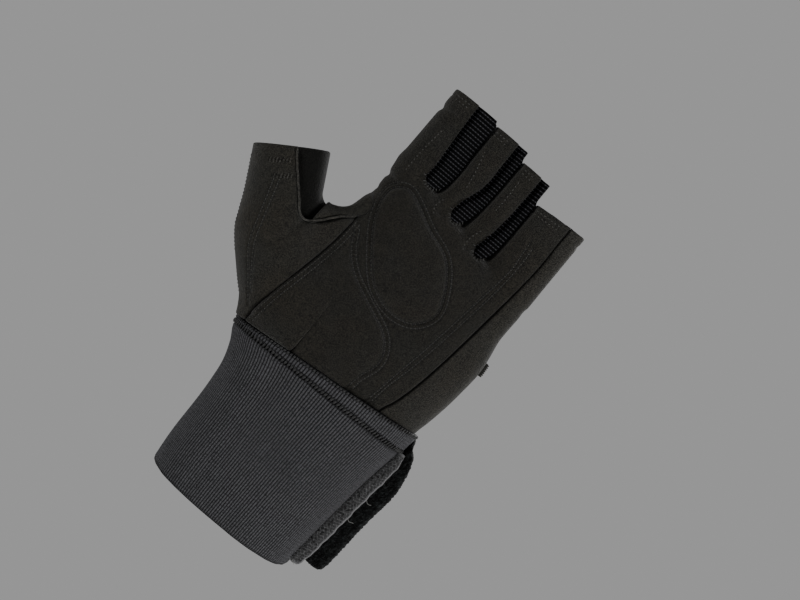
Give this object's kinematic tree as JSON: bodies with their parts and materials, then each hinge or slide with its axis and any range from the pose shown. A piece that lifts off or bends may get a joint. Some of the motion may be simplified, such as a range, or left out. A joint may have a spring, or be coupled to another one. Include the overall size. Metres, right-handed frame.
{
  "type": "weightlifting glove",
  "caption": "Half-finger lifting glove for the left hand: padded suede palm, stretch back, mesh gussets and a wide ribbed elastic wrist wrap.",
  "frame": {"origin": "centre of the wrist opening, at the cuff's lower edge", "axes": "+Z along the hand towards the fingers, the palm faces -Y, the thumb points to -X and the little finger is at +X"},
  "size_m": [0.1485, 0.0575, 0.2164],
  "materials": {
    "suede": "napped suede, dull",
    "stretch_cloth": "smooth knit, dull",
    "ribbed_mesh": "ribbed mesh knit, dull",
    "ribbed_elastic": "ribbed elastic knit, dull",
    "hook_and_loop": "fuzzy loop pile, dull"
  },
  "bodies": {
    "root": {"palm_panel": "suede", "little_side_panel": "suede", "thumb_panel": "suede", "thumb_side_panel": "suede", "web_binding": "suede", "oval_pad": "suede", "heel_pad": "suede", "seam_tab": "suede", "back_panel": "stretch_cloth", "index_middle_gusset": "ribbed_mesh", "middle_ring_gusset": "ribbed_mesh", "ring_little_gusset": "ribbed_mesh", "cuff_band": "ribbed_elastic", "cuff_hem": "ribbed_elastic", "closure_strip": "ribbed_elastic", "hook_tab": "hook_and_loop"}
  },
  "joints": []
}
